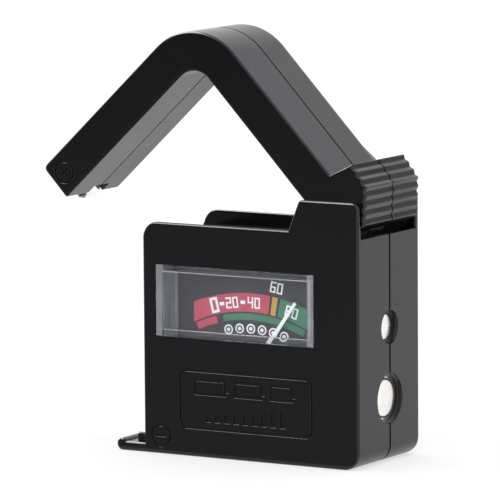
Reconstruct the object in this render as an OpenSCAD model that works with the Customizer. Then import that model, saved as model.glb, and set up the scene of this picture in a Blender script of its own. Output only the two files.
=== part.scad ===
// Pocket battery tester: a two-shell case with a pointer meter, a contact ledge,
// two snap contacts in the side and a spring-loaded elbow arm with a thumb lever.
// Millimetres. +X is the tester's right, +Y its back, +Z up.
// Origin: middle of the case's underside, on the plane it stands on.
// The arm is drawn raised, as it stands with a slim cell under its tip.

/* [Case] */
// Width of the case
case_w = 44.2; // [44:0.1:44.6]
// Depth of the case, front face to back face
case_d = 22; // [21.9:0.1:22.4]
// Height of the case's top edges left of the ears
case_h = 41.7; // [41.4:0.1:42]
// Height of the two ears that hold the arm
ear_h = 47.2; // [46.8:0.1:47.4]
// Where each ear's sloping edge starts, measured from the middle
ear_x = 7.9; // [6:0.1:9]
// Slope of that edge, in degrees
ear_slope = 68; // [60:1:80]
// Front and back wall thickness
wall_y = 1; // [0.9:0.05:1.1]
// Side, floor and slot-floor thickness
wall_x = 1.2; // [1.1:0.05:1.3]
// Height of the floor of the slot that the closed arm drops into
slot_z = 39.3; // [39:0.1:39.4]
// Height of the notch in the right wall, under the thumb lever
notch_z = 40.7; // [40.4:0.1:40.8]
// Radius of the case's upper left corner
corner_top = 3; // [2.6:0.1:3.3]
// Radius of the case's lower right corner
corner_low = 3.2; // [2.6:0.1:3.4]
// Middle of the seam between the two shells
seam_y = 0.3; // [0.2:0.05:0.4]
// Open width of the seam
seam_gap = 0.5; // [0.3:0.05:0.6]

/* [Ledge] */
// Length of the ledge out of the left side
ledge_l = 5.8; // [5:0.1:7]
// Thickness of the ledge
ledge_t = 1.7; // [1.5:0.1:1.9]
// Length of the raised rib under the contact strip
rib_l = 2; // [1.8:0.1:2.4]
// Height of the top of that rib
rib_z = 3.05; // [2.8:0.05:3.1]

/* [Window and plaque] */
// Left edge of the window
window_x0 = -19.5; // [-19.6:0.1:-19.3]
// Right edge of the window
window_x1 = 13.1; // [12.9:0.1:13.3]
// Bottom edge of the window
window_z0 = 21.2; // [21:0.1:21.4]
// Top edge of the window
window_z1 = 34.2; // [34:0.1:34.4]
// Depth of the lines cut into the front
engrave = 0.25; // [0.1:0.05:0.4]
// Width of those lines
line_w = 0.4; // [0.3:0.05:0.5]
// Plaque width
plaque_w = 27.4; // [24:0.1:28]
// Plaque height
plaque_h = 10.7; // [8:0.1:11]
// Middle of the plaque, across
plaque_x = -0.85; // [-1:0.05:0]
// Middle of the plaque, up
plaque_z = 10.35; // [10:0.05:11]
// Corner radius of the plaque's frame
plaque_r = 1.5; // [1:0.1:2]

/* [Snap contacts] */
// Distance between the two snap contacts
snap_pitch = 12.7; // [12.6:0.05:12.8]
// Height of the upper, smaller contact
snap_z = 24.15; // [24:0.05:24.3]
// Radius of the upper recess
snap_small_r = 3.05; // [2.95:0.05:3.1]
// Radius of the lower recess
snap_large_r = 4.5; // [4.4:0.05:4.6]
// Depth of each contact's face below the case's side
snap_depth = 1; // [0.95:0.05:1.05]

/* [Arm] */
// Rotation from fully shut to the pose drawn, in degrees
open_deg = 46.7; // [46.7:0.1:46.8]
// Arm pivot, across
pivot_x = 18.1; // [18.1:0.1:18.2]
// Arm pivot, up
pivot_z = 43; // [43:0.1:43.1]
// Thickness of both limbs, seen from the front
limb_t = 7.05; // [7:0.05:7.1]
// Shell thickness of the arm
arm_wall = 1.2; // [1:0.05:1.25]
// Outer radius of the elbow
elbow_r = 11.25; // [10.5:0.05:11.5]
// Front face of the arm
arm_y0 = -9.7; // [-9.7:0.05:-9.5]
// Back face of the limbs
limb_y1 = 9.1; // [8.8:0.05:9.3]
// Back face of the thumb lever
lever_y1 = 9.5; // [9.4:0.05:9.6]
// Left face of the arm when it is shut
arm_x0 = -29.5; // [-29.6:0.05:-29.4]
// Top face of the arm when it is shut
arm_z1 = 47.2; // [47.2:0.05:47.3]
// Lower end of the arm when it is shut
arm_z0 = 2.7; // [2.6:0.05:2.8]
// Depth of the lever's grip ribs
rib_depth = 0.38; // [0.3:0.02:0.5]

/* [Meter] */
// Pointer axis, across
axis_x = -3.2; // [-3.2:0.1:-3.1]
// Pointer axis, up
axis_z = 14.7; // [14.7:0.1:14.8]
// Pointer length
pointer_l = 16.6; // [16:0.1:17]
// Pointer angle right of upright, in degrees
pointer_deg = 35.8; // [30:0.1:40]
// Front surface of the dial
dial_y = -4.8; // [-4.85:0.05:-4.8]

/* [Hidden] */
$fn = 96;
// Small overlap that joins solids or clears a cut, and how far a cutter runs past
eps = 0.01;
over = 1;
half_w = case_w / 2;
half_d = case_d / 2;
seam_y0 = seam_y - seam_gap / 2;
seam_y1 = seam_y + seam_gap / 2;
joint_gap = 0.03;
joint_y0 = seam_y - joint_gap;
joint_y1 = seam_y + joint_gap;
groove = 0.5;
ear_in = 2;
inner_y = half_d - wall_y;
inner_x = half_w - wall_x;
ear_r = 0.9;
ear_r2 = 1.2;
corner_ledge = 1.1;
room_z1 = slot_z - wall_x;
slot_r = 3.85;
room_r = 2;
far = 60;
// Tongue on the back shell that closes the seam from inside
tongue_t = 0.6;
tongue_l = 0.85;
tongue_gap = 0.05;
// Where the tongue is left out: beside the snap contacts and the ledge contact
tongue_bay = 5;
snap_bay_z0 = 5;
snap_bay_z1 = 29;
// Screws and the posts they run in: lower left and right, upper left and right
posts = [[-16.5, 4], [16.5, 4], [-17, 37], [17.2, 35.2]];
post_r = 2.1;
pilot_r = 1;
shank_r = 0.95;
clear_r = 1.1;
head_r = 1.5;
head_h = 1.1;
head_sink = 1.4;
head_room = 0.1;
screw_l = 13;
cross_w = 0.45;
cross_l = 2;
cross_h = 0.6;
// Arm's axle, held in a blind hole in each ear
axle_r = 1.2;
axle_in = 0.6;
bore_gap = 0.06;
hub_r = 2.85;
hub_open = 0.05;
// Ledge contact
strip_t = 0.3;
strip_y0 = -9.3;
strip_y1 = 9.3;
strip_slot = 0.08;
strip_in = 1.4;
strip_tail_w = 6;
rib_y0 = -9.7;
rib_y1 = 9.7;
// Polarity rings
ring_r = 2.1;
sign_l = 2;
minus_x = -18.45;
minus_z = 3.3;
// Marks inside the plaque: middle and length of each cell outline, then the bars
marks = [[-8.2, 6.6], [-0.4, 5.6], [6.4, 4.6]];
mark_h = 2.9;
mark_up = 2.3;
mark_nub = 0.6;
bars = 9;
bar_x = -9.1;
bar_pitch = 1.9;
bar_w = 1.1;
bar_h = 0.9;
bar_rise = 0.24;
bar_down = 3.9;
// Snap contacts
snap_gap = 0.45;
snap_lip = 0.95;
plate_t = 0.3;
plate_x1 = inner_x - 0.1;
small_plate = 7.4;
large_plate = 10.6;
tail_l = 4;
tail_w = 2.4;
// Meter housing
cover_gap = 0.1;
cover_wall = 1.1;
cover_front = 0.9;
flange_x = 0.8;
flange_y0 = -9.95;
flange_z0 = 6.6;
flange_z1 = 34.5;
flange_wall = 1;
cover_y1 = -4.6;
dial_t = 0.3;
base_y0 = -4.5;
base_t = 1.2;
base_hole = 5.2;
dial_hole = 1.3;
bridge_slot = 0.1;
// Moving-coil movement
core_r = 2.4;
core_y0 = -2.2;
core_y1 = 1.6;
core_pin = 0.45;
magnet_r0 = 4.1;
magnet_r1 = 6;
magnet_slit = 2.2;
yoke_r0 = 6.05;
yoke_r1 = 7;
yoke_y0 = -3.2;
yoke_y1 = 2.4;
coil_w0 = 2.75;
coil_w1 = 3;
coil_w2 = 3.5;
coil_y0 = -2.6;
coil_y1 = 2;
coil_t = 1.8;
bobbin_t = 1.2;
bobbin_edge = 0.25;
wind_t = 0.4;
staff_r = 0.3;
staff_y0 = -7;
staff_y1 = 4.2;
jewel_r = 0.6;
jewel_gap = 0.05;
jewel_l = 1.5;
jewel_hole = 0.35;
jewel_in = 0.45;
bridge_w = 2.4;
bridge_t = 0.6;
bridge_y0 = -7.9;
bridge_z0 = 8;
bridge_up = 1.3;
bridge_foot = 0.8;
rear_y = 4;
needle_y0 = -5.75;
needle_t = 0.25;
needle_w = 0.84;
needle_tip = 0.56;
needle_hub = 1;
tail_r = 3.6;
weight_r = 0.55;
weight_gap = 0.3;
spiral_n = 3;
spiral_steps = 24;
spiral_r0 = 0.32;
spiral_step = 0.5;
spiral_t = 0.14;
spiral_y0 = -4.1;
spiral_h = 0.3;
terminal_r = 0.6;
terminal_x = 11;
terminal_z = 30;
terminal_l = 2.6;
// Resistors and wires
res_r = 1;
res_l = 5;
res_z = 30.5;
res_at = [-12, 0];
res_y = 3;
lead_r = 0.3;
lead_l = 1.2;
wire_r = 0.5;
knee = 1.1;
// Points that each wire runs through
path_negative = [[-inner_x + 2, 0, rib_z + tail_l - 1], [-18, 2, 12], [-18, 2, 26],
    [axis_x - terminal_x - 1.2, 0, terminal_z]];
path_positive = [[axis_x + terminal_x + 1.2, 0, terminal_z], [12, 4, 33], [12, 6, 36.5],
    [14, 6, 37]];
path_snap = [[plate_x1 - plate_t - 3.3, -2, snap_z], [15, 4, 26], [9, 6, res_z],
    [res_l + lead_l + 0.1, res_y, res_z]];
// Arm
arm_seam = 0.15;
arm_seam_gap = 0.06;
arm_groove_w = 0.36;
arm_groove_d = 0.4;
boss_r = 1.35;
arm_pilot = 0.7;
arm_shank = 0.65;
arm_clear = 0.75;
arm_head = 1.25;
arm_head_h = 0.8;
arm_head_sink = 1;
arm_screw_l = 11;
boss_a_z = 14;
boss_b_x = -8;
boss_c_x = 14.6;
boss_c_z = 48.2;
tip_r = 1;
mouth_w = 5;
mouth_up = 2.1;
mouth_y = 0.2;
mouth_in = 3.2;
leaf_w = 4.4;
leaf_t = 0.3;
leaf_top = 11;
arm_wire_r = 0.4;
arm_wire_in = 1.7;
arm_wire_y = -2;
arm_wire_z0 = 12.4;
arm_wire_x1 = 11.5;
emblem_up = 3;
spring_r = 2.1;
spring_wire = 0.28;
spring_turns = 9;
// One turn's outline: part of the pitch along, part of the wire's thickness out
ridge = [[0, 0], [0.3, 1], [0.7, 1], [1, 0]];
spring_pitch = 0.56;
spring_leg_r = 0.22;
spring_leg = 7;
spring_leg_deg = -99;
spring_leg2 = 7;
elbow_x = arm_x0 + elbow_r;
elbow_z = arm_z1 - elbow_r;
limb_mid_x = arm_x0 + limb_t / 2;
limb_mid_z = arm_z1 - limb_t / 2;
// Grip profile of the thumb lever, arm shut: crest points and where it meets the limb
lever_root = [10, arm_z1];
crest = [[11.55, 51.9], [13.18, 51.75], [14.82, 51.6], [16.45, 51.4],
    [17.6, 50.25], [18.75, 49.08], [19.9, 47.9], [21.05, 46.7]];
lever_foot = [21, 45.95];
lever_neck = [[pivot_x + 1.9, pivot_z - 2.1], [pivot_x, pivot_z - 2.6]];
lever_back = [pivot_x - 8, pivot_z];
// How far along from one crest to the next the valley lies
valley_at = 0.5;
// Bottom of the seam's groove in the lever, arm shut
lever_floor = [[10.6, arm_z1 - 0.6], [12.1, 51], [16.08, 50.6], [20.4, 46.1], [19.4, 42],
    [pivot_x, pivot_z]];
// Hollow inside the lever
lever_core = [[11.3, 44.5], [12.2, 50.2], [15.9, 49.9], [19.6, 46.2], [17.4, 44.8]];
// Hollow beside the hub, where the spring's leg lies
leg_room_l = 6;
// Sprung leaf, arm shut: distances from the limb's right inner face, and heights
leaf_x = arm_x0 + limb_t - arm_wall - 0.2;
leaf = [[0, leaf_top], [0, 3.5], [1.35, 2.2], [1.45, 1.4], [0.6, 0.6], [-1.3, 0.8],
    [-1.9, 1.6], [-1.65, 1.8], [-1.15, 1.1], [0.5, 0.92], [1.13, 1.5], [1.07, 2.05],
    [-leaf_t, 3.35], [-leaf_t, leaf_top]];

// Sub-part to draw, or all of them

// A flat outline in X and Z, given a thickness along Y
module slab(y0, y1) {
    translate([0, y1, 0])
        rotate([90, 0, 0])
            linear_extrude(y1 - y0)
                children();
}

// A round bar along Y
module bar_y(x, z, r, y0, y1) {
    translate([x, y1, z])
        rotate([90, 0, 0])
            cylinder(h = y1 - y0, r = r);
}

module block(x0, x1, y0, y1, z0, z1) {
    translate([x0, y0, z0])
        cube([x1 - x0, y1 - y0, z1 - z0]);
}

module area(x0, x1, z0, z1) {
    translate([x0, z0])
        square([x1 - x0, z1 - z0]);
}

// The case seen from the front, ledge and ear included, drawn in by a margin
module case_outline(m) {
    top = ear_h - m;
    slope_x = ear_x + m / sin(ear_slope);
    top_x = slope_x + (top - case_h) / tan(ear_slope);
    cut = (ear_r - m) * tan(ear_slope / 2);
    area(-half_w + m, half_w - corner_low, m, case_h - corner_top);
    area(-half_w + corner_top, half_w - corner_low, m, case_h - m);
    area(0, half_w - m, corner_low, case_h - m);
    translate([-half_w + corner_top, case_h - corner_top])
        circle(corner_top - m);
    translate([half_w - corner_low, corner_low])
        circle(corner_low - m);
    area(-half_w - ledge_l + corner_ledge, 0, m, ledge_t - m);
    area(-half_w - ledge_l + m, 0, corner_ledge, ledge_t - m);
    translate([-half_w - ledge_l + corner_ledge, corner_ledge])
        circle(corner_ledge - m);
    polygon([[slope_x, case_h], [slope_x, case_h - ear_in], [half_w - m, case_h - ear_in],
        [half_w - m, ear_h - ear_r2], [half_w - ear_r2, ear_h - ear_r2],
        [half_w - ear_r2, top], [top_x + cut, top],
        [top_x - cut * cos(ear_slope), top - cut * sin(ear_slope)]]);
    translate([top_x + cut, ear_h - ear_r])
        circle(ear_r - m);
    translate([half_w - ear_r2, ear_h - ear_r2])
        circle(ear_r2 - m);
}

// Half of the groove that runs round the case along its seam
module seam_groove(y0, y1) {
    slab(y0, y1)
        difference() {
            square(4 * far, center = true);
            case_outline(groove);
        }
}

// The room inside the case, drawn in by a margin
module room_outline(inset) {
    area(-inner_x + inset, inner_x - room_r, wall_x + inset, slot_z - slot_r);
    area(-half_w + slot_r, inner_x - room_r, wall_x + inset, room_z1 - inset);
    area(0, inner_x - inset, wall_x + room_r, room_z1 - inset);
    translate([-half_w + slot_r, slot_z - slot_r])
        circle(slot_r - wall_x - inset);
    translate([inner_x - room_r, wall_x + room_r])
        circle(room_r - inset);
}

// The slot for the arm, rounded where the elbow comes down, and the notch for its lever
module slot_outline() {
    area(-far, inner_x, slot_z, far);
    area(0, far, notch_z, far);
    difference() {
        area(-far, -half_w + slot_r, slot_z - slot_r, slot_z + eps);
        translate([-half_w + slot_r, slot_z - slot_r])
            circle(slot_r);
        area(-half_w + slot_r - eps, 0, 0, slot_z);
    }
}

module ring(x, z) {
    translate([x, z])
        difference() {
            circle(ring_r);
            circle(ring_r - line_w);
        }
}

module round_area(w, h, r) {
    square([w - 2 * r, h], center = true);
    square([w, h - 2 * r], center = true);
    for (x = [r - w / 2, w / 2 - r], z = [r - h / 2, h / 2 - r])
        translate([x, z])
            circle(r);
}

// Outline of a cell lying on its side, its nub to the right
module cell_mark(x, w) {
    translate([x, plaque_z + mark_up])
        difference() {
            square([w, mark_h], center = true);
            square([w - 2 * line_w, mark_h - 2 * line_w], center = true);
        }
    area(x + w / 2, x + w / 2 + mark_nub, plaque_z + mark_up - mark_h / 4,
        plaque_z + mark_up + mark_h / 4);
}

// Engraved frame with three cell outlines over a row of rising bars
module plaque() {
    translate([plaque_x, plaque_z])
        difference() {
            round_area(plaque_w, plaque_h, plaque_r);
            round_area(plaque_w - 2 * line_w, plaque_h - 2 * line_w, plaque_r - line_w);
        }
    for (m = marks)
        cell_mark(m[0], m[1]);
    for (i = [0 : bars - 1])
        translate([bar_x + i * bar_pitch, plaque_z - bar_down])
            square([bar_w, bar_h + i * bar_rise]);
}

// Everything that both shells are cut out by
module case_cuts(y0, y1) {
    slab(max(y0, -inner_y), min(y1, inner_y))
        slot_outline();
    slab(max(y0, -inner_y), min(y1, inner_y))
        room_outline(0);
    block(-half_w - eps, -inner_x + eps, strip_y0 - strip_slot, strip_y1 + strip_slot,
        rib_z, rib_z + strip_t + strip_slot);
    translate([inner_x - eps, seam_y, snap_z])
        rotate([0, 90, 0])
            cylinder(h = wall_x + over, r = snap_small_r);
    translate([inner_x - eps, seam_y, snap_z - snap_pitch])
        rotate([0, 90, 0])
            cylinder(h = wall_x + over, r = snap_large_r);
}

module front_shell() {
    color([0.05, 0.05, 0.055])
        difference() {
            union() {
                difference() {
                    slab(-half_d, joint_y0)
                        case_outline(0);
                    case_cuts(-half_d, joint_y0 + eps);
                    seam_groove(seam_y0, seam_y);
                    slab(-half_d - eps, -inner_y + eps)
                        area(window_x0, window_x1, window_z0, window_z1);
                    slab(-half_d - eps, -half_d + engrave)
                        union() {
                            plaque();
                            ring(minus_x, minus_z);
                            area(minus_x - sign_l / 2, minus_x + sign_l / 2,
                                minus_z - line_w / 2, minus_z + line_w / 2);
                        }
                }
                block(-half_w - rib_l, -half_w + eps, rib_y0, joint_y0, ledge_t - over, rib_z);
                for (p = posts)
                    bar_y(p[0], p[1], post_r, -inner_y - eps, joint_y0);
            }
            for (p = posts)
                bar_y(p[0], p[1], pilot_r, -inner_y + over, joint_y0 + eps);
            bar_y(pivot_x, pivot_z, axle_r, -inner_y - axle_in, joint_y0);
        }
}

module screw_hole(x, z) {
    bar_y(x, z, clear_r, joint_y1 - eps, half_d + eps);
    bar_y(x, z, head_r + head_room, half_d - head_sink, half_d + eps);
}

module rear_shell() {
    color([0.05, 0.05, 0.055])
        difference() {
            union() {
                difference() {
                    slab(joint_y1, half_d)
                        case_outline(0);
                    case_cuts(joint_y1 - eps, half_d);
                    seam_groove(seam_y, seam_y1);
                }
                block(-half_w - rib_l, -half_w + eps, joint_y1, rib_y1, ledge_t - over, rib_z);
                difference() {
                    union() {
                        slab(joint_y1, joint_y1 + tongue_l)
                            room_outline(-eps);
                        slab(joint_y0 - tongue_l, joint_y1 + tongue_l)
                            room_outline(tongue_gap);
                    }
                    slab(joint_y0 - over, joint_y1 + over)
                        room_outline(tongue_gap + tongue_t);
                    block(half_w - tongue_bay, far, -far, far, snap_bay_z0, snap_bay_z1);
                    block(-far, -half_w + tongue_bay, -far, far, 0, tongue_bay);
                    for (p = posts)
                        bar_y(p[0], p[1], post_r + tongue_gap, joint_y0 - over, joint_y1);
                }
                for (p = posts)
                    bar_y(p[0], p[1], post_r, joint_y1, inner_y + eps);
            }
            for (p = posts)
                screw_hole(p[0], p[1]);
            bar_y(pivot_x, pivot_z, axle_r, joint_y1, inner_y + axle_in);
        }
}

module screw(x, z, r, r_head, h_head, sink, length, y) {
    difference() {
        union() {
            bar_y(x, z, r_head, y - sink, y - sink + h_head);
            bar_y(x, z, r, y - sink - length, y - sink + eps);
        }
        block(x - cross_l / 2, x + cross_l / 2, y - sink + h_head - cross_h, y,
            z - cross_w / 2, z + cross_w / 2);
        block(x - cross_w / 2, x + cross_w / 2, y - sink + h_head - cross_h, y,
            z - cross_l / 2, z + cross_l / 2);
    }
}

module case_screws() {
    color([0.62, 0.62, 0.6])
        for (p = posts)
            screw(p[0], p[1], shank_r, head_r, head_h, head_sink, screw_l, half_d);
}

module arm_axle() {
    color([0.7, 0.7, 0.7])
        bar_y(pivot_x, pivot_z, axle_r, -inner_y - axle_in, inner_y + axle_in);
}

module negative_contact() {
    in_x = -inner_x + strip_in;
    color([0.8, 0.78, 0.72]) {
        block(-half_w - rib_l, in_x, strip_y0, strip_y1, rib_z, rib_z + strip_t);
        block(in_x - strip_t, in_x, -strip_tail_w / 2, strip_tail_w / 2, rib_z,
            rib_z + tail_l);
    }
}

// A plate behind the side wall with a raised disc in the recess
module snap_contact(z, plate, disc_r) {
    face_x = half_w - snap_depth;
    block(plate_x1 - plate_t, plate_x1, seam_y - plate / 2, seam_y + plate / 2,
        z - plate / 2, z + plate / 2);
    translate([plate_x1 - eps, seam_y, z])
        rotate([0, 90, 0])
            cylinder(h = face_x - plate_x1 + eps, r = disc_r);
    block(plate_x1 - plate_t - tail_w, plate_x1 - plate_t + eps,
        seam_y - plate / 2, seam_y - plate / 2 + plate_t, z - tail_w / 2, z + tail_w / 2);
}

module snap_contact_small() {
    color([0.78, 0.77, 0.75])
        snap_contact(snap_z, small_plate, snap_small_r - snap_gap);
}

module snap_contact_large() {
    color([0.78, 0.77, 0.75])
        snap_contact(snap_z - snap_pitch, large_plate, snap_large_r - snap_lip);
}

// Clear box: a raised pane in the window on a wider, open-backed housing
module meter_cover() {
    x0 = window_x0 + cover_gap;
    x1 = window_x1 - cover_gap;
    z0 = window_z0 + cover_gap;
    z1 = window_z1 - cover_gap;
    y0 = -half_d + cover_gap;
    color([0.85, 0.88, 0.92, 0.35])
        difference() {
            union() {
                block(x0, x1, y0, flange_y0 + eps, z0, z1);
                block(x0 - flange_x, x1 + flange_x, flange_y0, cover_y1, flange_z0, flange_z1);
            }
            block(x0 + cover_wall, x1 - cover_wall, y0 + cover_front, cover_y1 + eps,
                z0 + cover_wall, z1 - cover_wall);
            block(x0 + cover_wall, x1 - cover_wall, flange_y0 + cover_front, cover_y1 + eps,
                flange_z0 + flange_wall, z1 - cover_wall);
        }
}

// Space for the bridge's foot
module foot_slot() {
    block(axis_x - bridge_w / 2 - bridge_slot, axis_x + bridge_w / 2 + bridge_slot,
        dial_y - over, dial_y + over, bridge_z0 - bridge_slot, bridge_z0 + bridge_foot + bridge_slot);
}

module dial_plate() {
    color([0.13, 0.13, 0.14])
        difference() {
            block(window_x0 + cover_wall + 2 * cover_gap, window_x1 - cover_wall - 2 * cover_gap,
                dial_y, dial_y + dial_t - eps, flange_z0 + flange_wall + cover_gap,
                window_z1 - cover_wall - 2 * cover_gap);
            bar_y(axis_x, axis_z, dial_hole, dial_y - over, dial_y + over);
            foot_slot();
        }
}

module meter_base() {
    color([0.16, 0.16, 0.17])
        difference() {
            block(window_x0 - flange_x + cover_gap, window_x1 + flange_x - cover_gap,
                base_y0, base_y0 + base_t, flange_z0, flange_z1);
            bar_y(axis_x, axis_z, base_hole, base_y0 - over, base_y0 + base_t + over);
        }
}

module meter_magnet() {
    color([0.3, 0.3, 0.32])
        difference() {
            bar_y(axis_x, axis_z, magnet_r1, yoke_y0, yoke_y1);
            bar_y(axis_x, axis_z, magnet_r0, yoke_y0 - over, yoke_y1 + over);
            block(axis_x - magnet_slit, axis_x + magnet_slit, yoke_y0 - over, yoke_y1 + over,
                axis_z - far, axis_z + far);
        }
}

module meter_yoke() {
    color([0.55, 0.55, 0.56])
        difference() {
            bar_y(axis_x, axis_z, yoke_r1, yoke_y0, yoke_y1);
            bar_y(axis_x, axis_z, yoke_r0, yoke_y0 - over, yoke_y1 + over);
        }
}

module meter_core() {
    color([0.6, 0.6, 0.6]) {
        bar_y(axis_x, axis_z, core_r, core_y0, core_y1);
        translate([axis_x, (core_y0 + core_y1) / 2, axis_z - yoke_r0 + jewel_gap])
            cylinder(h = 2 * (yoke_r0 - jewel_gap), r = core_pin);
    }
}

module meter_bridges() {
    color([0.75, 0.62, 0.3]) {
        difference() {
            union() {
                block(axis_x - bridge_w / 2, axis_x + bridge_w / 2, bridge_y0,
                    bridge_y0 + bridge_t, bridge_z0, axis_z + bridge_up);
                block(axis_x - bridge_w / 2, axis_x + bridge_w / 2, bridge_y0,
                    base_y0 - eps, bridge_z0, bridge_z0 + bridge_foot);
            }
            bar_y(axis_x, axis_z, jewel_r + jewel_gap, bridge_y0 - over, bridge_y0 + over);
        }
        difference() {
            union() {
                block(axis_x - bridge_w / 2, axis_x + bridge_w / 2, rear_y,
                    rear_y + bridge_t, axis_z - yoke_r1 + jewel_gap, axis_z + bridge_up);
                block(axis_x - bridge_w / 2, axis_x + bridge_w / 2, yoke_y1 + eps,
                    rear_y + bridge_t, axis_z - yoke_r1 + jewel_gap, axis_z - yoke_r0 - jewel_gap);
            }
            bar_y(axis_x, axis_z, jewel_r + jewel_gap, rear_y - over, rear_y + over);
        }
    }
}

module jewel_screws() {
    color([0.8, 0.7, 0.4]) {
        difference() {
            bar_y(axis_x, axis_z, jewel_r, staff_y0 + jewel_in - jewel_l, staff_y0 + jewel_in);
            bar_y(axis_x, axis_z, jewel_hole, staff_y0 - jewel_gap, staff_y0 + jewel_in + eps);
        }
        difference() {
            bar_y(axis_x, axis_z, jewel_r, staff_y1 - jewel_in, staff_y1 - jewel_in + jewel_l);
            bar_y(axis_x, axis_z, jewel_hole, staff_y1 - jewel_in - eps, staff_y1 + jewel_gap);
        }
    }
}

module meter_terminals() {
    y = base_y0 + base_t;
    color([0.8, 0.65, 0.3]) {
        bar_y(axis_x - terminal_x, terminal_z, terminal_r, y + eps, y + terminal_l);
        bar_y(axis_x + terminal_x, terminal_z, terminal_r, y + eps, y + terminal_l);
    }
}

// Turns what is drawn upright to the pointer's angle
module swung() {
    translate([axis_x, 0, axis_z])
        rotate([0, pointer_deg, 0])
            children();
}

module coil_bobbin() {
    color([0.7, 0.7, 0.72])
        swung()
            difference() {
                block(-coil_w1, coil_w1, coil_y0 - bobbin_edge, coil_y1 + bobbin_edge,
                    -bobbin_t / 2, bobbin_t / 2);
                block(-coil_w0, coil_w0, coil_y0, coil_y1, -bobbin_t, bobbin_t);
            }
}

module coil_winding() {
    color([0.72, 0.32, 0.12])
        swung()
            difference() {
                block(-coil_w2, coil_w2, coil_y0 - bobbin_edge - wind_t,
                    coil_y1 + bobbin_edge + wind_t, -coil_t / 2, coil_t / 2);
                block(-coil_w1 - eps, coil_w1 + eps, coil_y0 - bobbin_edge - eps,
                    coil_y1 + bobbin_edge + eps, -coil_t, coil_t);
            }
}

module meter_staff() {
    color([0.7, 0.7, 0.7]) {
        bar_y(axis_x, axis_z, staff_r, staff_y0, coil_y0 - bobbin_edge - wind_t - eps);
        bar_y(axis_x, axis_z, staff_r, coil_y1 + bobbin_edge + wind_t + eps, staff_y1);
    }
}

module pointer() {
    color([0.95, 0.95, 0.95])
        swung()
            difference() {
                slab(needle_y0, needle_y0 + needle_t)
                    union() {
                        polygon([[-needle_w / 2, -tail_r], [needle_w / 2, -tail_r],
                            [needle_w / 2, 0], [needle_tip / 2, pointer_l],
                            [-needle_tip / 2, pointer_l], [-needle_w / 2, 0]]);
                        circle(needle_hub);
                    }
                bar_y(0, 0, staff_r + eps, needle_y0 - over, needle_y0 + over);
            }
}

module balance_weight() {
    color([0.75, 0.7, 0.5])
        swung()
            bar_y(0, -tail_r + weight_r, weight_r, needle_y0 + needle_t + eps,
                dial_y - weight_gap);
}

// Flat spiral between the staff and the meter base
module hairspring() {
    inner = [for (i = [0 : spiral_n * spiral_steps]) let (a = i * 360 / spiral_steps,
        r = spiral_r0 + spiral_step * a / 360) [r * cos(a), r * sin(a)]];
    outer = [for (i = [spiral_n * spiral_steps : -1 : 0]) let (a = i * 360 / spiral_steps,
        r = spiral_r0 + spiral_t + spiral_step * a / 360) [r * cos(a), r * sin(a)]];
    color([0.75, 0.6, 0.3])
        translate([axis_x, 0, axis_z])
            slab(spiral_y0, spiral_y0 + spiral_h)
                polygon(concat(inner, outer));
}

module load_resistors() {
    color([0.75, 0.65, 0.45])
        for (x = res_at) {
            translate([x, res_y, res_z])
                rotate([0, 90, 0])
                    cylinder(h = res_l, r = res_r);
            translate([x - lead_l, res_y, res_z])
                rotate([0, 90, 0])
                    cylinder(h = res_l + 2 * lead_l, r = lead_r);
        }
}

// Insulated wire through a list of points
module wire(points, r) {
    for (i = [0 : len(points) - 2]) {
        run = points[i + 1] - points[i];
        translate(points[i])
            rotate([0, acos(run[2] / norm(run)), atan2(run[1], run[0])])
                cylinder(h = norm(run), r = r);
    }
    for (i = [1 : len(points) - 2])
        translate(points[i])
            sphere(r * knee);
}

module wire_negative() {
    color([0.08, 0.08, 0.08])
        wire(path_negative, wire_r);
}

module wire_positive() {
    color([0.55, 0.06, 0.05])
        wire(path_positive, wire_r);
}

module wire_snap() {
    color([0.5, 0.48, 0.1])
        wire(path_snap, wire_r);
}

// Turns what is drawn with the arm shut to the raised pose
module raised() {
    translate([pivot_x, 0, pivot_z])
        rotate([0, open_deg, 0])
            translate([-pivot_x, 0, -pivot_z])
                children();
}

// One limb-and-elbow outline, arm shut, drawn in by a margin
module limbs(inset) {
    difference() {
        union() {
            area(arm_x0 + inset, arm_x0 + limb_t - inset, arm_z0 + inset + tip_r, elbow_z);
            area(arm_x0 + inset + tip_r, arm_x0 + limb_t - inset, arm_z0 + inset, elbow_z);
            area(elbow_x, pivot_x, arm_z1 - limb_t + inset, arm_z1 - inset);
            translate([arm_x0 + inset + tip_r, arm_z0 + inset + tip_r])
                circle(tip_r);
            intersection() {
                translate([elbow_x, elbow_z])
                    circle(elbow_r - inset);
                area(arm_x0, elbow_x + eps, elbow_z - eps, arm_z1);
            }
        }
        intersection() {
            translate([elbow_x, elbow_z])
                circle(elbow_r - limb_t + inset);
            area(arm_x0, elbow_x + 2 * eps, elbow_z - 2 * eps, arm_z1);
        }
    }
}

// Bottom of the valley between two crests
function valley(a, b) =
    a + (b - a) * valley_at + rib_depth * [b[1] - a[1], a[0] - b[0]] / norm(b - a);

module lever_outline() {
    last = len(crest) - 1;
    teeth = [for (i = [0 : last - 1], k = [0, 1])
        k == 0 ? crest[i] : valley(crest[i], crest[i + 1])];
    polygon(concat([lever_back, lever_root], teeth, [crest[last], lever_foot], lever_neck));
    translate([pivot_x, pivot_z])
        circle(hub_r);
}

// One half of the arm between two planes, open towards the seam
module arm_half(y0, y1, lever_y, wall_y0, wall_y1) {
    difference() {
        union() {
            slab(y0, y1)
                limbs(0);
            slab(min(y0, lever_y), max(y1, lever_y))
                lever_outline();
        }
        slab(wall_y0, wall_y1)
            limbs(arm_wall);
        slab(wall_y0, wall_y1)
            polygon(lever_core);
        slab(wall_y0, wall_y1)
            translate([pivot_x, pivot_z])
                circle(hub_r + hub_open);
        slab(wall_y0, wall_y1)
            area(pivot_x - leg_room_l, pivot_x, arm_z1 - limb_t - over, pivot_z);
        bar_y(pivot_x, pivot_z, axle_r + bore_gap, -far, far);
    }
}

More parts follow.
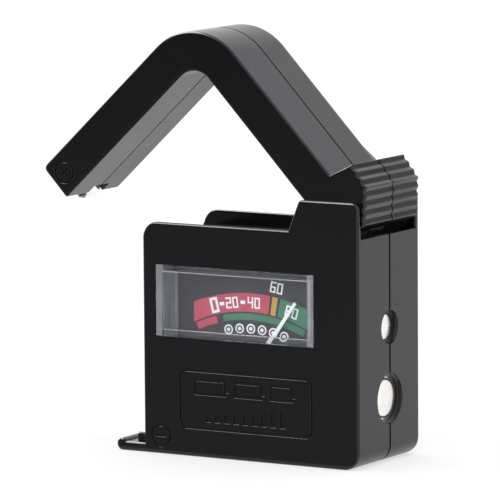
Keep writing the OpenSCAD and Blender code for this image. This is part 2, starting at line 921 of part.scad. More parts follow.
// Half of the groove that follows the seam round both limbs and the lever
module arm_groove(y0, y1) {
    slab(y0, y1)
        difference() {
            union() {
                limbs(-eps);
                lever_outline();
            }
            limbs(arm_groove_d);
            polygon(lever_floor);
            translate([pivot_x, pivot_z])
                circle(hub_r);
        }
}

module arm_bosses(y0, y1, r) {
    bar_y(limb_mid_x, boss_a_z, r, y0, y1);
    bar_y(boss_b_x, limb_mid_z, r, y0, y1);
    bar_y(boss_c_x, boss_c_z, r, y0, y1);
}

// Mouth in the arm's tip that the contact leaf comes out of
module tip_mouth() {
    block(arm_x0 + limb_t - mouth_in, arm_x0 + limb_t + over, mouth_y - mouth_w / 2,
        mouth_y + mouth_w / 2, arm_z0 - over, arm_z0 + mouth_up);
}

module arm_front_half() {
    y1 = arm_seam - arm_seam_gap / 2;
    color([0.05, 0.05, 0.055])
        raised()
            difference() {
                union() {
                    arm_half(arm_y0, y1, y1, arm_y0 + arm_wall, y1 + eps);
                    arm_bosses(arm_y0 + arm_wall - eps, y1, boss_r);
                }
                slab(arm_y0 - eps, arm_y0 + engrave)
                    translate([limb_mid_x, arm_z0 + emblem_up])
                        union() {
                            ring(0, 0);
                            square([sign_l, line_w], center = true);
                            square([line_w, sign_l], center = true);
                        }
                arm_bosses(arm_y0 + arm_wall + over, y1 + eps, arm_pilot);
                tip_mouth();
                arm_groove(arm_seam - arm_groove_w / 2, arm_seam);
            }
}

module arm_rear_half() {
    y0 = arm_seam + arm_seam_gap / 2;
    color([0.05, 0.05, 0.055])
        raised()
            difference() {
                union() {
                    arm_half(y0, limb_y1, lever_y1, y0 - eps, limb_y1 - arm_wall);
                    arm_bosses(y0, limb_y1 - arm_wall + eps, boss_r);
                }
                arm_bosses(y0 - eps, lever_y1 + eps, arm_clear);
                arm_bosses(limb_y1 - arm_head_sink, lever_y1 + eps, arm_head + head_room);
                tip_mouth();
                arm_groove(arm_seam, arm_seam + arm_groove_w / 2);
            }
}

module arm_screws() {
    color([0.62, 0.62, 0.6])
        raised()
            for (p = [[limb_mid_x, boss_a_z], [boss_b_x, limb_mid_z], [boss_c_x, boss_c_z]])
                screw(p[0], p[1], arm_shank, arm_head, arm_head_h, arm_head_sink,
                    arm_screw_l, limb_y1);
}

// Sprung leaf: down inside the limb, out at the tip's corner and back in
module positive_contact() {
    color([0.82, 0.8, 0.78])
        raised()
            slab(mouth_y - leaf_w / 2, mouth_y + leaf_w / 2)
                translate([leaf_x, 0])
                    polygon(leaf);
}

module arm_wire() {
    r = elbow_r - arm_wire_in;
    x = arm_x0 + arm_wire_in;
    z = arm_z1 - arm_wire_in;
    color([0.55, 0.06, 0.05])
        raised() {
            translate([x, arm_wire_y, arm_wire_z0])
                cylinder(h = elbow_z - arm_wire_z0, r = arm_wire_r);
            translate([elbow_x, arm_wire_y, elbow_z])
                rotate([-90, 0, 0])
                    rotate([0, 0, 180])
                        rotate_extrude(angle = 90)
                            translate([r, 0])
                                circle(arm_wire_r);
            translate([elbow_x, arm_wire_y, z])
                rotate([0, 90, 0])
                    cylinder(h = arm_wire_x1 - elbow_x, r = arm_wire_r);
        }
}

// Close-wound torsion spring: one leg on the slot floor, one inside the raised arm
module arm_spring() {
    y0 = -spring_turns * spring_pitch / 2;
    ridges = [for (i = [0 : spring_turns - 1], p = ridge)
        [spring_r + spring_wire * p[1], y0 + (i + p[0]) * spring_pitch]];
    color([0.7, 0.7, 0.68]) {
        translate([pivot_x, 0, pivot_z])
            rotate([-90, 0, 0])
                rotate_extrude()
                    polygon(concat([[spring_r - spring_wire, -y0], [spring_r - spring_wire, y0]],
                        ridges));
        translate([pivot_x, y0 + spring_pitch / 2, pivot_z - spring_r])
            rotate([0, spring_leg_deg, 0])
                cylinder(h = spring_leg, r = spring_leg_r);
        raised()
            translate([pivot_x, -y0 - spring_pitch / 2, pivot_z + spring_r])
                rotate([0, -90, 0])
                    cylinder(h = spring_leg2, r = spring_leg_r);
    }
}

front_shell();
rear_shell();
case_screws();
arm_axle();
negative_contact();
snap_contact_small();
snap_contact_large();
meter_cover();
dial_plate();
meter_base();
meter_magnet();
meter_yoke();
meter_core();
meter_bridges();
jewel_screws();
meter_terminals();
coil_bobbin();
coil_winding();
meter_staff();
pointer();
balance_weight();
hairspring();
load_resistors();
wire_negative();
wire_positive();
wire_snap();
arm_front_half();
arm_rear_half();
arm_screws();
positive_contact();
arm_wire();
arm_spring();
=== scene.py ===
"""Pocket battery tester: materials, dial printing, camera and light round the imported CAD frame."""

import math

import bmesh
import bpy
from mathutils import Matrix, Vector


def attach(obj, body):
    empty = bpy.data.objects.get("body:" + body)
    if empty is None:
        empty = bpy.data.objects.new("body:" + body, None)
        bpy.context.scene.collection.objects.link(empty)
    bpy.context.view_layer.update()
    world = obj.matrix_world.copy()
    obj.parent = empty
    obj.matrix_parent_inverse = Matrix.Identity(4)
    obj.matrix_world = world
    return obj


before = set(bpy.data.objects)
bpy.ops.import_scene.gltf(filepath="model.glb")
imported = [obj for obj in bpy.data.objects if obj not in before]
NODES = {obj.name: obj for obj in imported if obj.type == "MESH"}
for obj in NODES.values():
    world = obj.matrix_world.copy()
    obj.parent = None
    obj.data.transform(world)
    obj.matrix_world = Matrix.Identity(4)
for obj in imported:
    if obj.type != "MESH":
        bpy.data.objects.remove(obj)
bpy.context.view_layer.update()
MM = 0.001


def new_object(name, data):
    o = bpy.data.objects.new(name, data)
    bpy.context.scene.collection.objects.link(o)
    return o


# ---------------------------------------------------------------- node helpers
class Nodes:
    """Short calls for the shader nodes that the materials and the studio share."""

    def __init__(self, tree):
        self.t = tree

    def new(self, kind, **props):
        n = self.t.nodes.new(kind)
        for k, v in props.items():
            setattr(n, k, v)
        return n

    def link(self, a, b):
        self.t.links.new(a, b)

    def feed(self, socket, v):
        """Link a socket, or give the input its value."""
        if isinstance(v, bpy.types.NodeSocket):
            self.link(v, socket)
        else:
            socket.default_value = v

    def ramp(self, fac, first, last):
        r = self.new("ShaderNodeValToRGB")
        for el, pos, col in zip(r.color_ramp.elements, (0.0, 1.0), (first, last)):
            el.position = pos
            el.color = (*col, 1)
        self.link(fac, r.inputs[0])
        return r.outputs[0]

    def map(self, fac, lo, hi, out_lo, out_hi):
        n = self.new("ShaderNodeMapRange")
        for i, v in enumerate((lo, hi, out_lo, out_hi)):
            n.inputs[i + 1].default_value = v
        self.link(fac, n.inputs[0])
        return n.outputs[0]

    def math(self, op, *values, clamp=False):
        n = self.new("ShaderNodeMath", operation=op, use_clamp=clamp)
        for socket, v in zip(n.inputs, values):
            self.feed(socket, v)
        return n.outputs[0]

    def xyz(self, vector):
        n = self.new("ShaderNodeSeparateXYZ")
        self.link(vector, n.inputs[0])
        return n.outputs


class Mat(Nodes):
    """A material in object coordinates, with calls for its principled shader."""

    def __init__(self, name):
        self.m = bpy.data.materials.new(name)
        self.m.use_nodes = True
        super().__init__(self.m.node_tree)
        self.b = self.t.nodes["Principled BSDF"]
        self.coord = self.new("ShaderNodeTexCoord").outputs["Object"]

    def set(self, **sockets):
        for k, v in sockets.items():
            self.feed(self.b.inputs[k.replace("_", " ")], v)

    def noise(self, scale, detail=3.0, rough=0.5, stretch=(1, 1, 1)):
        mp = self.new("ShaderNodeMapping")
        mp.inputs["Scale"].default_value = stretch
        self.link(self.coord, mp.inputs["Vector"])
        n = self.new("ShaderNodeTexNoise")
        n.inputs["Scale"].default_value = scale
        n.inputs["Detail"].default_value = detail
        n.inputs["Roughness"].default_value = rough
        self.link(mp.outputs[0], n.inputs["Vector"])
        return n.outputs["Fac"]

    def spread(self, noise, lo, hi):
        """Noise, which mostly lies between 0.3 and 0.7, stretched over a range."""
        return self.map(noise, 0.3, 0.7, lo, hi)

    def mix(self, fac, a, b):
        n = self.new("ShaderNodeMix", data_type="RGBA")
        self.feed(n.inputs[0], fac)
        self.feed(n.inputs[6], (*a, 1))
        self.feed(n.inputs[7], (*b, 1))
        return n.outputs[2]

    def bump(self, height, strength, depth):
        """Relief of the given depth in millimetres."""
        n = self.new("ShaderNodeBump")
        n.inputs["Strength"].default_value = strength
        n.inputs["Distance"].default_value = depth * MM
        self.link(height, n.inputs["Height"])
        return n.outputs[0]


# ---------------------------------------------------------------- materials
PLASTIC_IOR = 1.45


def plastic(name, base, rough, grain):
    """Moulded plastic: fine grain, faint clouds in the gloss and a trace of wear."""
    m = Mat(name)
    clouds = m.noise(90, 4, 0.6)
    fine = m.noise(5200, 3, 0.7)
    scuff = m.noise(900, 5, 0.75, (1, 1, 0.15))
    gloss = m.spread(clouds, rough - 0.03, rough + 0.03)
    m.set(Base_Color=m.mix(m.spread(clouds, 0, 1), base, [c * 1.25 for c in base]),
          Roughness=m.math("ADD", gloss, m.map(scuff, 0.6, 0.75, 0, 0.08)),
          Normal=m.bump(fine, grain, 0.04),
          IOR=PLASTIC_IOR, Specular_Tint=(0.95, 0.94, 1.0, 1.0))
    return m.m


def metal(name, base, rough, stretch=(1, 1, 1), scale=1500, strength=0.15):
    """Metal with fine drawn lines or grain and slightly uneven polish."""
    m = Mat(name)
    lines = m.noise(scale, 4, 0.6, stretch)
    clouds = m.noise(220, 3)
    m.set(Base_Color=m.mix(m.spread(clouds, 0, 1), base, [c * 0.85 for c in base]),
          Roughness=m.spread(lines, rough * 0.7, rough * 1.4),
          Normal=m.bump(lines, strength, 0.03), Metallic=1.0)
    return m.m


def paint(name, base, rough=0.45):
    """Printed or sprayed ink: slightly uneven in density."""
    m = Mat(name)
    dots = m.noise(6000, 2)
    clouds = m.noise(300, 3)
    m.set(Base_Color=m.mix(m.spread(clouds, 0, 1), base, [min(1, c * 1.12) for c in base]),
          Roughness=m.spread(dots, rough - 0.05, rough + 0.05),
          Normal=m.bump(dots, 0.1, 0.02), Specular_IOR_Level=0.15)
    return m.m


PANE_X, PANE_Z = (-19.4, 13.0), (21.3, 34.1)      # clear pane in the window, millimetres
PANE_WALL, WALL_FADE = 1.1, 0.2
# Strengths of the painted sheen on the cover's side walls and on its ends
SIDE_SHEEN, END_SHEEN = 0.17, 0.015


def clear(name):
    """Clear moulded cover; a pale bluish sheen is painted into its walls in place of the light they
    catch.
    """
    m = Mat(name)
    x, _, z = m.xyz(m.coord)

    def edge(axis, lo, hi):
        """Above 0 within the wall's thickness of either end of the pane."""
        mid, half = (lo + hi) / 2 * MM, (hi - lo) / 2 * MM
        away = m.math("ABSOLUTE", m.math("SUBTRACT", axis, mid))
        return m.map(away, half - (PANE_WALL + WALL_FADE) * MM, half - PANE_WALL * MM, 0, 1)

    sides, ends = edge(x, *PANE_X), edge(z, *PANE_Z)
    haze = m.noise(160, 3, 0.6, (1, 1, 3))
    walls = m.math("MAXIMUM", m.math("MULTIPLY", sides, SIDE_SHEEN),
                   m.math("MULTIPLY", ends, END_SHEEN))
    for wall in (sides, ends):      # painted highlight lines along the walls' inner edges
        edge_highlight = m.math("MULTIPLY", wall, m.math("SUBTRACT", 1.0, wall))
        walls = m.math("MAXIMUM", walls, edge_highlight)
    # Painted sheen: the walls' colour is mixed towards a pale blue in place of the light they catch
    painted_sheen = m.math("MULTIPLY", walls, m.spread(haze, 0.75, 1.1))
    m.set(Base_Color=m.mix(painted_sheen, (0.96, 0.98, 1.0), (0.52, 0.58, 0.78)),
          Transmission_Weight=m.math("SUBTRACT", 1.0, painted_sheen),
          Roughness=m.spread(haze, 0.0, 0.02), IOR=PLASTIC_IOR)
    return m.m


BLACK = plastic("case_black", (0.0028, 0.0028, 0.0033), 0.24, 0.1)
BLACK_GRAIN = plastic("case_black_grained", (0.003, 0.003, 0.0034), 0.28, 0.6)
STEEL = metal("screw_steel", (0.6, 0.6, 0.58), 0.35)
AXLE = metal("axle_steel", (0.62, 0.62, 0.62), 0.2, (1, 8, 1))
NICKEL = metal("contact_nickel", (0.98, 0.94, 0.91), 0.2, (1, 12, 1), 900, 0.1)
IRON = metal("soft_iron", (0.42, 0.42, 0.43), 0.4)
BRASS = metal("meter_brass", (0.78, 0.58, 0.28), 0.3)
BRONZE = metal("hairspring_bronze", (0.7, 0.48, 0.24), 0.3)
ALUMINIUM = metal("bobbin_aluminium", (0.75, 0.75, 0.77), 0.35)
COPPER = metal("copper_wire", (0.7, 0.3, 0.12), 0.3, (40, 40, 1), 3000, 0.4)
MAGNET = metal("magnet_grey", (0.12, 0.12, 0.13), 0.6)
SPRING = metal("spring_steel", (0.55, 0.55, 0.54), 0.3)
DIAL = paint("dial_grey", (0.047, 0.045, 0.053), 0.5)
WHITE = paint("pointer_white", (0.86, 0.86, 0.86), 0.4)
RED = paint("band_red", (0.52, 0.08, 0.12))
YELLOW = paint("band_yellow", (0.5, 0.32, 0.08))
GREEN = paint("band_green", (0.055, 0.2, 0.12))
INK_WHITE = paint("mark_white", (0.85, 0.85, 0.87))
METER_BLACK = plastic("meter_black", (0.02, 0.02, 0.022), 0.5, 0.3)
CERAMIC = paint("resistor_ceramic", (0.62, 0.48, 0.27), 0.35)
WIRE_BLACK = plastic("wire_black", (0.012, 0.012, 0.012), 0.35, 0.1)
WIRE_RED = plastic("wire_red", (0.35, 0.02, 0.015), 0.35, 0.1)
WIRE_YELLOW = plastic("wire_yellow", (0.6, 0.45, 0.04), 0.35, 0.1)
CLEAR = clear("clear_cover")

FINISH = {
    "front_shell": BLACK, "rear_shell": BLACK, "arm_front_half": BLACK,
    "arm_rear_half": BLACK_GRAIN, "case_screws": STEEL, "arm_screws": STEEL,
    "arm_axle": AXLE, "meter_staff": AXLE, "negative_contact": NICKEL,
    "snap_contact_small": NICKEL, "snap_contact_large": NICKEL,
    "positive_contact": NICKEL, "meter_cover": CLEAR, "dial_plate": DIAL,
    "meter_base": METER_BLACK, "meter_magnet": MAGNET, "meter_yoke": IRON,
    "meter_core": IRON, "meter_bridges": BRASS, "jewel_screws": BRASS,
    "meter_terminals": BRASS, "balance_weight": BRASS, "coil_bobbin": ALUMINIUM,
    "coil_winding": COPPER, "pointer": WHITE, "hairspring": BRONZE,
    "load_resistors": CERAMIC, "wire_negative": WIRE_BLACK, "wire_positive": WIRE_RED,
    "arm_wire": WIRE_RED, "wire_snap": WIRE_YELLOW, "arm_spring": SPRING,
}
for name, mat in FINISH.items():
    materials = NODES[name].data.materials
    materials.clear()
    materials.append(mat)


# ---------------------------------------------------------------- edges of the CAD nodes
SHARP = math.radians(28)      # least angle between faces that counts as an edge
FLAT = math.radians(0.5)
SAME_POINT = 1e-6


def sharp_by_angle():
    """Node group that leaves the edges from SHARP up sharp, and makes the others smooth."""
    g = bpy.data.node_groups.new("sharp_by_angle", "GeometryNodeTree")
    g.interface.new_socket("Geometry", in_out="INPUT", socket_type="NodeSocketGeometry")
    g.interface.new_socket("Geometry", in_out="OUTPUT", socket_type="NodeSocketGeometry")
    angle = g.nodes.new("GeometryNodeInputMeshEdgeAngle")
    less = g.nodes.new("FunctionNodeCompare")
    less.operation = "LESS_THAN"
    less.inputs[1].default_value = SHARP
    smooth = g.nodes.new("GeometryNodeSetShadeSmooth")
    smooth.domain = "EDGE"
    g.links.new(angle.outputs["Unsigned Angle"], less.inputs[0])
    g.links.new(g.nodes.new("NodeGroupInput").outputs[0], smooth.inputs["Geometry"])
    g.links.new(less.outputs[0], smooth.inputs["Shade Smooth"])
    g.links.new(smooth.outputs[0], g.nodes.new("NodeGroupOutput").inputs[0])
    return g


SHARP_BY_ANGLE = sharp_by_angle()


def soften(name, width_of=None, segments=4, dissolve=True):
    """Round edges by modifiers, each by the width (mm) that width_of gives for its two ends.

    Widths go into the bevel weight attribute, so the CAD mesh keeps its vertices.
    """
    o = NODES[name]
    me = o.data

    def key(*ends):
        return frozenset(tuple(round(c, 3) for c in p / MM) for p in ends)

    widths = {}
    bm = bmesh.new()
    bm.from_mesh(me)
    bmesh.ops.remove_doubles(bm, verts=bm.verts, dist=SAME_POINT)
    bm.normal_update()
    for e in bm.edges:
        convex_edge = len(e.link_faces) == 2 and e.is_convex and e.calc_face_angle(0.0) > SHARP
        if width_of is not None and convex_edge:
            a, b = (v.co / MM for v in e.verts)
            widths[key(*(v.co for v in e.verts))] = width_of(a, b)
    bm.free()
    widest = max(widths.values(), default=0.0)

    weld = o.modifiers.new("weld", "WELD")
    weld.merge_threshold = SAME_POINT
    if dissolve:
        flat = o.modifiers.new("flat", "DECIMATE")
        flat.decimate_type = "DISSOLVE"
        flat.angle_limit = FLAT
    if widest:
        ends = [key(*(me.vertices[v].co for v in e.vertices)) for e in me.edges]
        weights = me.attributes.new("bevel_weight_edge", "FLOAT", "EDGE")
        weights.data.foreach_set("value", [widths.get(k, 0.0) / widest for k in ends])
        bevel = o.modifiers.new("edges", "BEVEL")
        bevel.width = widest * MM
        bevel.segments = segments
        bevel.limit_method = "WEIGHT"
        bevel.use_clamp_overlap = False
        bevel.loop_slide = False      # new corners stay in the flat faces
        bevel.face_strength_mode = "FSTR_ALL"
    o.modifiers.new("sharp_edges", "NODES").node_group = SHARP_BY_ANGLE
    normals = o.modifiers.new("flat_faces", "WEIGHTED_NORMAL")
    normals.mode = "FACE_AREA"
    normals.keep_sharp = True
    normals.use_face_influence = bool(widest)
    for p in me.polygons:
        p.use_smooth = True


# Widths of rounding, millimetres: the case's and arm's outer corners, engraved lines, the crests
# of the grip ribs, the arm's rear outline, the back of the lever, the arm's tip, and small parts
EDGE, FINE, CREST, REAR, LEVER, TIP, DISC = 0.5, 0.12, 0.22, 1.6, 0.35, 0.3, 0.5

# Planes that the edges lie on (Y), and outlines on the case's front as X0, X1, Z0, Z1
FRONT, BACK, WALL_IN = -11.0, 11.0, 9.9
NOTCH_Z = 39      # the walls round the arm's notch start above this
WINDOW = (-19.5, 13.1, 21.2, 34.2)
PLAQUE = (-14.6, 12.9, 4.95, 15.75)
RING = (-20.6, -16.3, 1.1, 5.5)
CASE_SCREWS = ((-16.5, 4), (16.5, 4), (-17, 37), (17.2, 35.2))


def within(p, x0, x1, z0, z1, slack=0.05):
    return x0 - slack <= p.x <= x1 + slack and z0 - slack <= p.z <= z1 + slack


def near(x, z, centres, radius):
    return any(math.hypot(x - cx, z - cz) < radius for cx, cz in centres)


def both_on(a, b, y):
    return abs(a.y - y) < 0.01 and abs(b.y - y) < 0.01


def shell_edge(a, b):
    """Width for an edge of a case half."""
    mid = (a + b) / 2
    if abs(mid.y) < WALL_IN or within(mid, *WINDOW):
        return 0.0
    if mid.y < 0 and any(within(a, *r) and within(b, *r) for r in (PLAQUE, RING)):
        return FINE if mid.y < FRONT + 0.01 else 0.0
    if mid.y > 0 and min(abs(a.y), abs(b.y)) < BACK - 0.01 and mid.z < NOTCH_Z:
        return 0.0
    return 0.0 if any(near(p.x, p.z, CASE_SCREWS, 1.7) for p in (a, b)) else EDGE


# The arm is worked out as it lies when shut; at rest it is turned up about its axle
PIVOT, OPEN = (18.1, 43.0), math.radians(46.7)
ARM_FRONT, LIMB_REAR, LEVER_REAR = -9.7, 9.1, 9.5
ARM_SCREWS = ((-25.975, 14), (-8, 43.675), (14.6, 48.2))
TIP_RING = (-25.975, 5.7)
LIMB_END = 16                     # the limb's outline ends and the lever starts, X
LEVER_X, LEVER_Z = 11, 45         # the ribs lie beyond both
TIP_X, TIP_Z = -23, 2.75          # the inner corner of the tip


def shut(p):
    """X and Z of a point on the raised arm, as it lies with the arm shut."""
    x, z = p.x - PIVOT[0], p.z - PIVOT[1]
    return (PIVOT[0] + x * math.cos(OPEN) - z * math.sin(OPEN),
            PIVOT[1] + x * math.sin(OPEN) + z * math.cos(OPEN))


def arm_edge(a, b):
    """Width for an edge of an arm half."""
    ends = shut(a), shut(b)
    (ax, az), (bx, bz) = ends
    if both_on(a, b, ARM_FRONT):
        return FINE if all(near(x, z, (TIP_RING,), 2.3) for x, z in ends) else EDGE
    if both_on(a, b, LEVER_REAR):
        return LEVER
    if both_on(a, b, LIMB_REAR):
        screw = any(near(x, z, ARM_SCREWS, 1.6) for x, z in ends)
        return REAR if not screw and max(ax, bx) < LIMB_END else 0.0
    if abs(a.y - b.y) <= 1:
        return 0.0
    if min(ax, bx) > LEVER_X and min(az, bz) > LEVER_Z:
        return CREST
    return TIP if max(az, bz) < TIP_Z and min(ax, bx) > TIP_X else 0.0


def disc_edge(a, b):
    """Width for an edge of a snap contact: only its outer rim is round."""
    return DISC if min(a.x, b.x) > 21 else 0.0


for name in ("front_shell", "rear_shell"):
    soften(name, shell_edge)
soften("arm_front_half", arm_edge, 6)
soften("arm_rear_half", arm_edge, 6, dissolve=False)
soften("meter_cover", lambda a, b: FINE)
for name in ("snap_contact_small", "snap_contact_large"):
    soften(name, disc_edge)
for name in ("case_screws", "arm_screws", "arm_axle", "pointer", "arm_spring", "positive_contact",
             "negative_contact", "load_resistors", "wire_negative", "wire_positive", "wire_snap",
             "arm_wire", "meter_magnet", "meter_yoke", "meter_core"):
    soften(name)


# ---------------------------------------------------------------- dial printing
ARC = (-3.22, -2.66)      # centre of the dial's arcs, X and Z
INK_Y0, INK_Y1 = -4.84, -4.8
MARK_LIFT = 0.02          # marks lie on top of the bands


def printed(name, loops, mat, lift=0.0):
    """Thin solid of ink on the dial: each loop is a list of X, Z corners, anticlockwise."""
    verts, faces = [], []
    for i, loop in enumerate(loops):
        y0 = INK_Y0 - lift - 0.001 * (i % 8)      # so that crossing strokes don't share a plane
        n, k = len(loop), len(verts)
        verts += [(x, y0, z) for x, z in loop] + [(x, INK_Y1, z) for x, z in loop]
        faces.append(list(range(k, k + n)))
        faces.append(list(range(k + 2 * n - 1, k + n - 1, -1)))
        faces += [[k + (j + 1) % n, k + j, k + n + j, k + n + (j + 1) % n] for j in range(n)]
    me = bpy.data.meshes.new(name)
    me.from_pydata([Vector(v) * MM for v in verts], [], faces)
    me.update()
    me.materials.append(mat)
    o = new_object(name, me)
    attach(o, "case")


def at(r, deg):
    """The point at a radius and at an angle from straight up, clockwise."""
    a = math.radians(deg)
    return (ARC[0] + r * math.sin(a), ARC[1] + r * math.cos(a))


def angle_at(r, x):
    return math.degrees(math.asin((x - ARC[0]) / r))


def band(radii, a0=None, a1=None, left_x=None, right_x=None, steps=24):
    """Band between two radii; an end is at an angle, or cut upright at a given X."""
    def ends(r):
        return (a0 if left_x is None else angle_at(r, left_x),
                a1 if right_x is None else angle_at(r, right_x))
    r0, r1 = radii
    lo, hi = ends(r0), ends(r1)
    inner = [at(r0, lo[0] + (lo[1] - lo[0]) * i / steps) for i in range(steps + 1)]
    outer = [at(r1, hi[1] + (hi[0] - hi[1]) * i / steps) for i in range(steps + 1)]
    return inner + outer


UPPER, LOWER_RED, LOWER_GREEN = (28.54, 31.88), (26.95, 28.25), (27.07, 28.23)      # radii
printed("dial_band_red", [band(UPPER, a1=7.4, left_x=-14.93),
                          band(LOWER_RED, -23.4, -14.5)], RED)
printed("dial_band_yellow", [band(UPPER, 8.3, 10.3)], YELLOW)
printed("dial_band_green", [band(UPPER, 11.3, right_x=8.4),
                            band(LOWER_GREEN, a1=23.5, left_x=-8.83)], GREEN)

# Strokes of plain numerals in a cell one unit wide and two tall: top, upper right, lower
# right, bottom, lower left, upper left and middle
STROKES = (((0, 2), (1, 2)), ((1, 2), (1, 1)), ((1, 1), (1, 0)), ((0, 0), (1, 0)),
           ((0, 0), (0, 1)), ((0, 1), (0, 2)), ((0, 1), (1, 1)))
DIGITS = {"0": (0, 1, 2, 3, 4, 5), "2": (0, 1, 6, 4, 3), "4": (5, 6, 1, 2),
          "6": (0, 5, 4, 3, 2, 6), "8": (0, 1, 2, 3, 4, 5, 6)}
PITCH = 1.65      # from one numeral to the next, in units


def turned(x, z, r, deg):
    """A point of the flat layout, carried to radius r and angle deg on the dial."""
    a = math.radians(deg)
    cx, cz = at(r, deg)
    return (cx + x * math.cos(a) + z * math.sin(a), cz - x * math.sin(a) + z * math.cos(a))


def number(text, size, r, deg, bold=0.17):
    """Numerals as thin bars, size tall, centred at radius r and angle deg."""
    unit, pen = size / 2, size * bold / 2
    left = -(len(text) * PITCH - (PITCH - 1)) * unit / 2
    loops = []
    for i, ch in enumerate(text):
        for k in DIGITS[ch]:
            (ax, az), (bx, bz) = STROKES[k]
            x0, x1 = (left + (i * PITCH + x) * unit for x in (min(ax, bx), max(ax, bx)))
            z0, z1 = ((z - 1) * unit for z in (min(az, bz), max(az, bz)))
            corners = ((x0 - pen, z0 - pen), (x1 + pen, z0 - pen),
                       (x1 + pen, z1 + pen), (x0 - pen, z1 + pen))
            loops.append([turned(x, z, r, deg) for x, z in corners])
    return loops


def dash(r0, r1, deg, half):
    """Bar between two numbers on the upper band."""
    return [at(r0, deg - half), at(r0, deg + half), at(r1, deg + half), at(r1, deg - half)]


def disc(x, z, radius, n=28):
    angles = [2 * math.pi * i / n for i in range(n)]
    return [(x + radius * math.cos(a), z + radius * math.sin(a)) for a in angles]


SCALE_R, ABOVE_R, SCALE_SIZE = 30.2, 33.6, 1.7
white = number("0", 2.3, SCALE_R, -14.2, 0.2) + number("20", SCALE_SIZE, SCALE_R, -7.2)
white += number("40", SCALE_SIZE, SCALE_R, 1.4) + number("60", SCALE_SIZE, ABOVE_R, 9.3)
white += number("80", SCALE_SIZE, SCALE_R, 16.3)
white += [dash(29.9, 30.5, deg, 0.9) for deg in (-11.2, -2.9)]
printed("dial_marks_white", white, INK_WHITE, MARK_LIFT)
# Six button cells under the lower band, seen flat: a rim round a smaller disc
cells = [at(25.5, -10.2 + 5.2 * k) for k in range(6)]
printed("dial_marks_cells", [disc(x, z, 0.9) for x, z in cells], INK_WHITE)
printed("dial_marks_cell_rims", [disc(x, z, 0.62) for x, z in cells], DIAL, MARK_LIFT)
printed("dial_marks_cell_hearts", [disc(x, z, 0.36) for x, z in cells], INK_WHITE, 2 * MARK_LIFT)


# ---------------------------------------------------------------- floor
floor_mesh = bpy.data.meshes.new("floor")
floor_mesh.from_pydata([(-4, -4, 0), (4, -4, 0), (4, 4, 0), (-4, 4, 0)], [], [(0, 1, 2, 3)])
floor = new_object("floor", floor_mesh)
pale = Mat("floor_pale")
pale.set(Base_Color=pale.mix(pale.spread(pale.noise(12, 3), 0, 1), (0.3,) * 3, (0.32,) * 3),
         Roughness=0.9, Specular_IOR_Level=0.0, Emission_Color=(1, 1, 1, 1),
         Emission_Strength=0.6)
floor_mesh.materials.append(pale.m)


# ---------------------------------------------------------------- studio
LEVEL, GLOSS_LEVEL, THROUGH_COVER = 1.6, 1.2, 1.6

world = bpy.data.worlds.new("studio")
bpy.context.scene.world = world
world.use_nodes = True
sky = Nodes(world.node_tree)
background = sky.t.nodes["Background"]
height = sky.xyz(sky.new("ShaderNodeTexCoord").outputs["Generated"])["Z"]
sky.link(sky.ramp(height, (1, 1, 1), (0.96, 0.975, 1.0)), background.inputs["Color"])
ray = sky.new("ShaderNodeLightPath").outputs
# Gloss meets a slightly dimmer studio than the one that lights the matt surfaces
gloss = sky.math("SUBTRACT", ray["Is Glossy Ray"], ray["Is Transmission Ray"], clamp=True)
level = sky.map(gloss, 0, 1, LEVEL, GLOSS_LEVEL)
# Light that reaches the dial through the clear cover, which would else be too dim
through = sky.math("MULTIPLY", ray["Is Transmission Ray"], ray["Diffuse Depth"])
sky.link(sky.math("MULTIPLY_ADD", through, THROUGH_COVER, level), background.inputs["Strength"])

lamp = bpy.data.lights.new("softbox_top", "AREA")
lamp.shape = "RECTANGLE"
lamp.size, lamp.size_y = 0.8, 0.3
lamp.energy = 9.0
top = new_object("softbox_top", lamp)
top.location = (-0.33, -0.06, 0.5)
top.rotation_euler = (Vector((0, 0, 0.04)) - top.location).to_track_quat("-Z", "Y").to_euler()
top.visible_diffuse = False


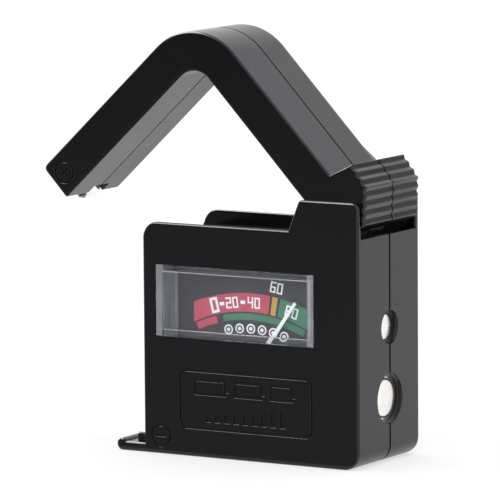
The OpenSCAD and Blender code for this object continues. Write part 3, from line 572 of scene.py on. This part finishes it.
def dark_card(name, corners, glow):
    """Flag that only shows in gloss, so the front faces reflect a darker room."""
    me = bpy.data.meshes.new(name)
    me.from_pydata(corners, [], [(0, 1, 2, 3)])
    m = bpy.data.materials.new(name)
    m.use_nodes = True
    m.node_tree.nodes.clear()
    card = Nodes(m.node_tree)
    emission = card.new("ShaderNodeEmission")
    emission.inputs["Strength"].default_value = glow
    card.link(emission.outputs[0], card.new("ShaderNodeOutputMaterial").inputs[0])
    me.materials.append(m)
    o = new_object(name, me)
    o.visible_camera = o.visible_diffuse = o.visible_shadow = o.visible_transmission = False


# The ways the front and the right side mirror the camera, and across them
AHEAD, ACROSS = Vector((-0.51, -0.86, 0)), Vector((0.86, -0.51, 0))


def out(ahead, across, z, turn=1):
    """A point ahead of the front, or behind the right side where turn is -1."""
    return (AHEAD * ahead + ACROSS * across) * turn + Vector((0, 0, z))


def upright(distance, half_width, z0, z1, turn=1):
    """Corners of a standing card that faces the object."""
    return [out(distance, side * half_width, z, turn)
            for side, z in ((-1, z0), (1, z0), (1, z1), (-1, z1))]


CARD_Z, CARD_Y = 0.0006, -0.0115      # just above the floor, and just before the case's front
dark_card("card_floor", [(-0.05, CARD_Y, CARD_Z), (0.0225, CARD_Y, CARD_Z),
                         out(0.5, 0.3, CARD_Z), out(0.5, -0.3, CARD_Z)], 0.34)
dark_card("card_upright", upright(0.5, 0.4, 0.0, 0.7), 0.04)
dark_card("card_behind", upright(0.8, 0.3, 0.06, 0.33, -1), 0.45)


# ---------------------------------------------------------------- camera
AZ, EL, ROLL = math.radians(30.694), math.radians(7.253), math.radians(-0.373)
AIM_ASIDE, AIM_Z, DISTANCE = -5.386, 36.962, 909.933      # millimetres

back = Vector((math.sin(AZ) * math.cos(EL), -math.cos(AZ) * math.cos(EL), math.sin(EL)))
level_right = Vector((math.cos(AZ), math.sin(AZ), 0))
level_up = back.cross(level_right)
right = level_right * math.cos(ROLL) + level_up * math.sin(ROLL)
up = level_up * math.cos(ROLL) - level_right * math.sin(ROLL)
place = level_right * (AIM_ASIDE * MM) + Vector((0, 0, AIM_Z * MM)) + back * (DISTANCE * MM)

lens = bpy.data.cameras.new("camera")
lens.sensor_width = 36
lens.lens = 368.13
lens.clip_end = 20
camera = new_object("camera", lens)
turn = Matrix((right, up, back)).transposed().to_4x4()
camera.matrix_world = Matrix.Translation(place) @ turn
bpy.context.scene.camera = camera
bpy.context.scene.view_settings.view_transform = "Standard"
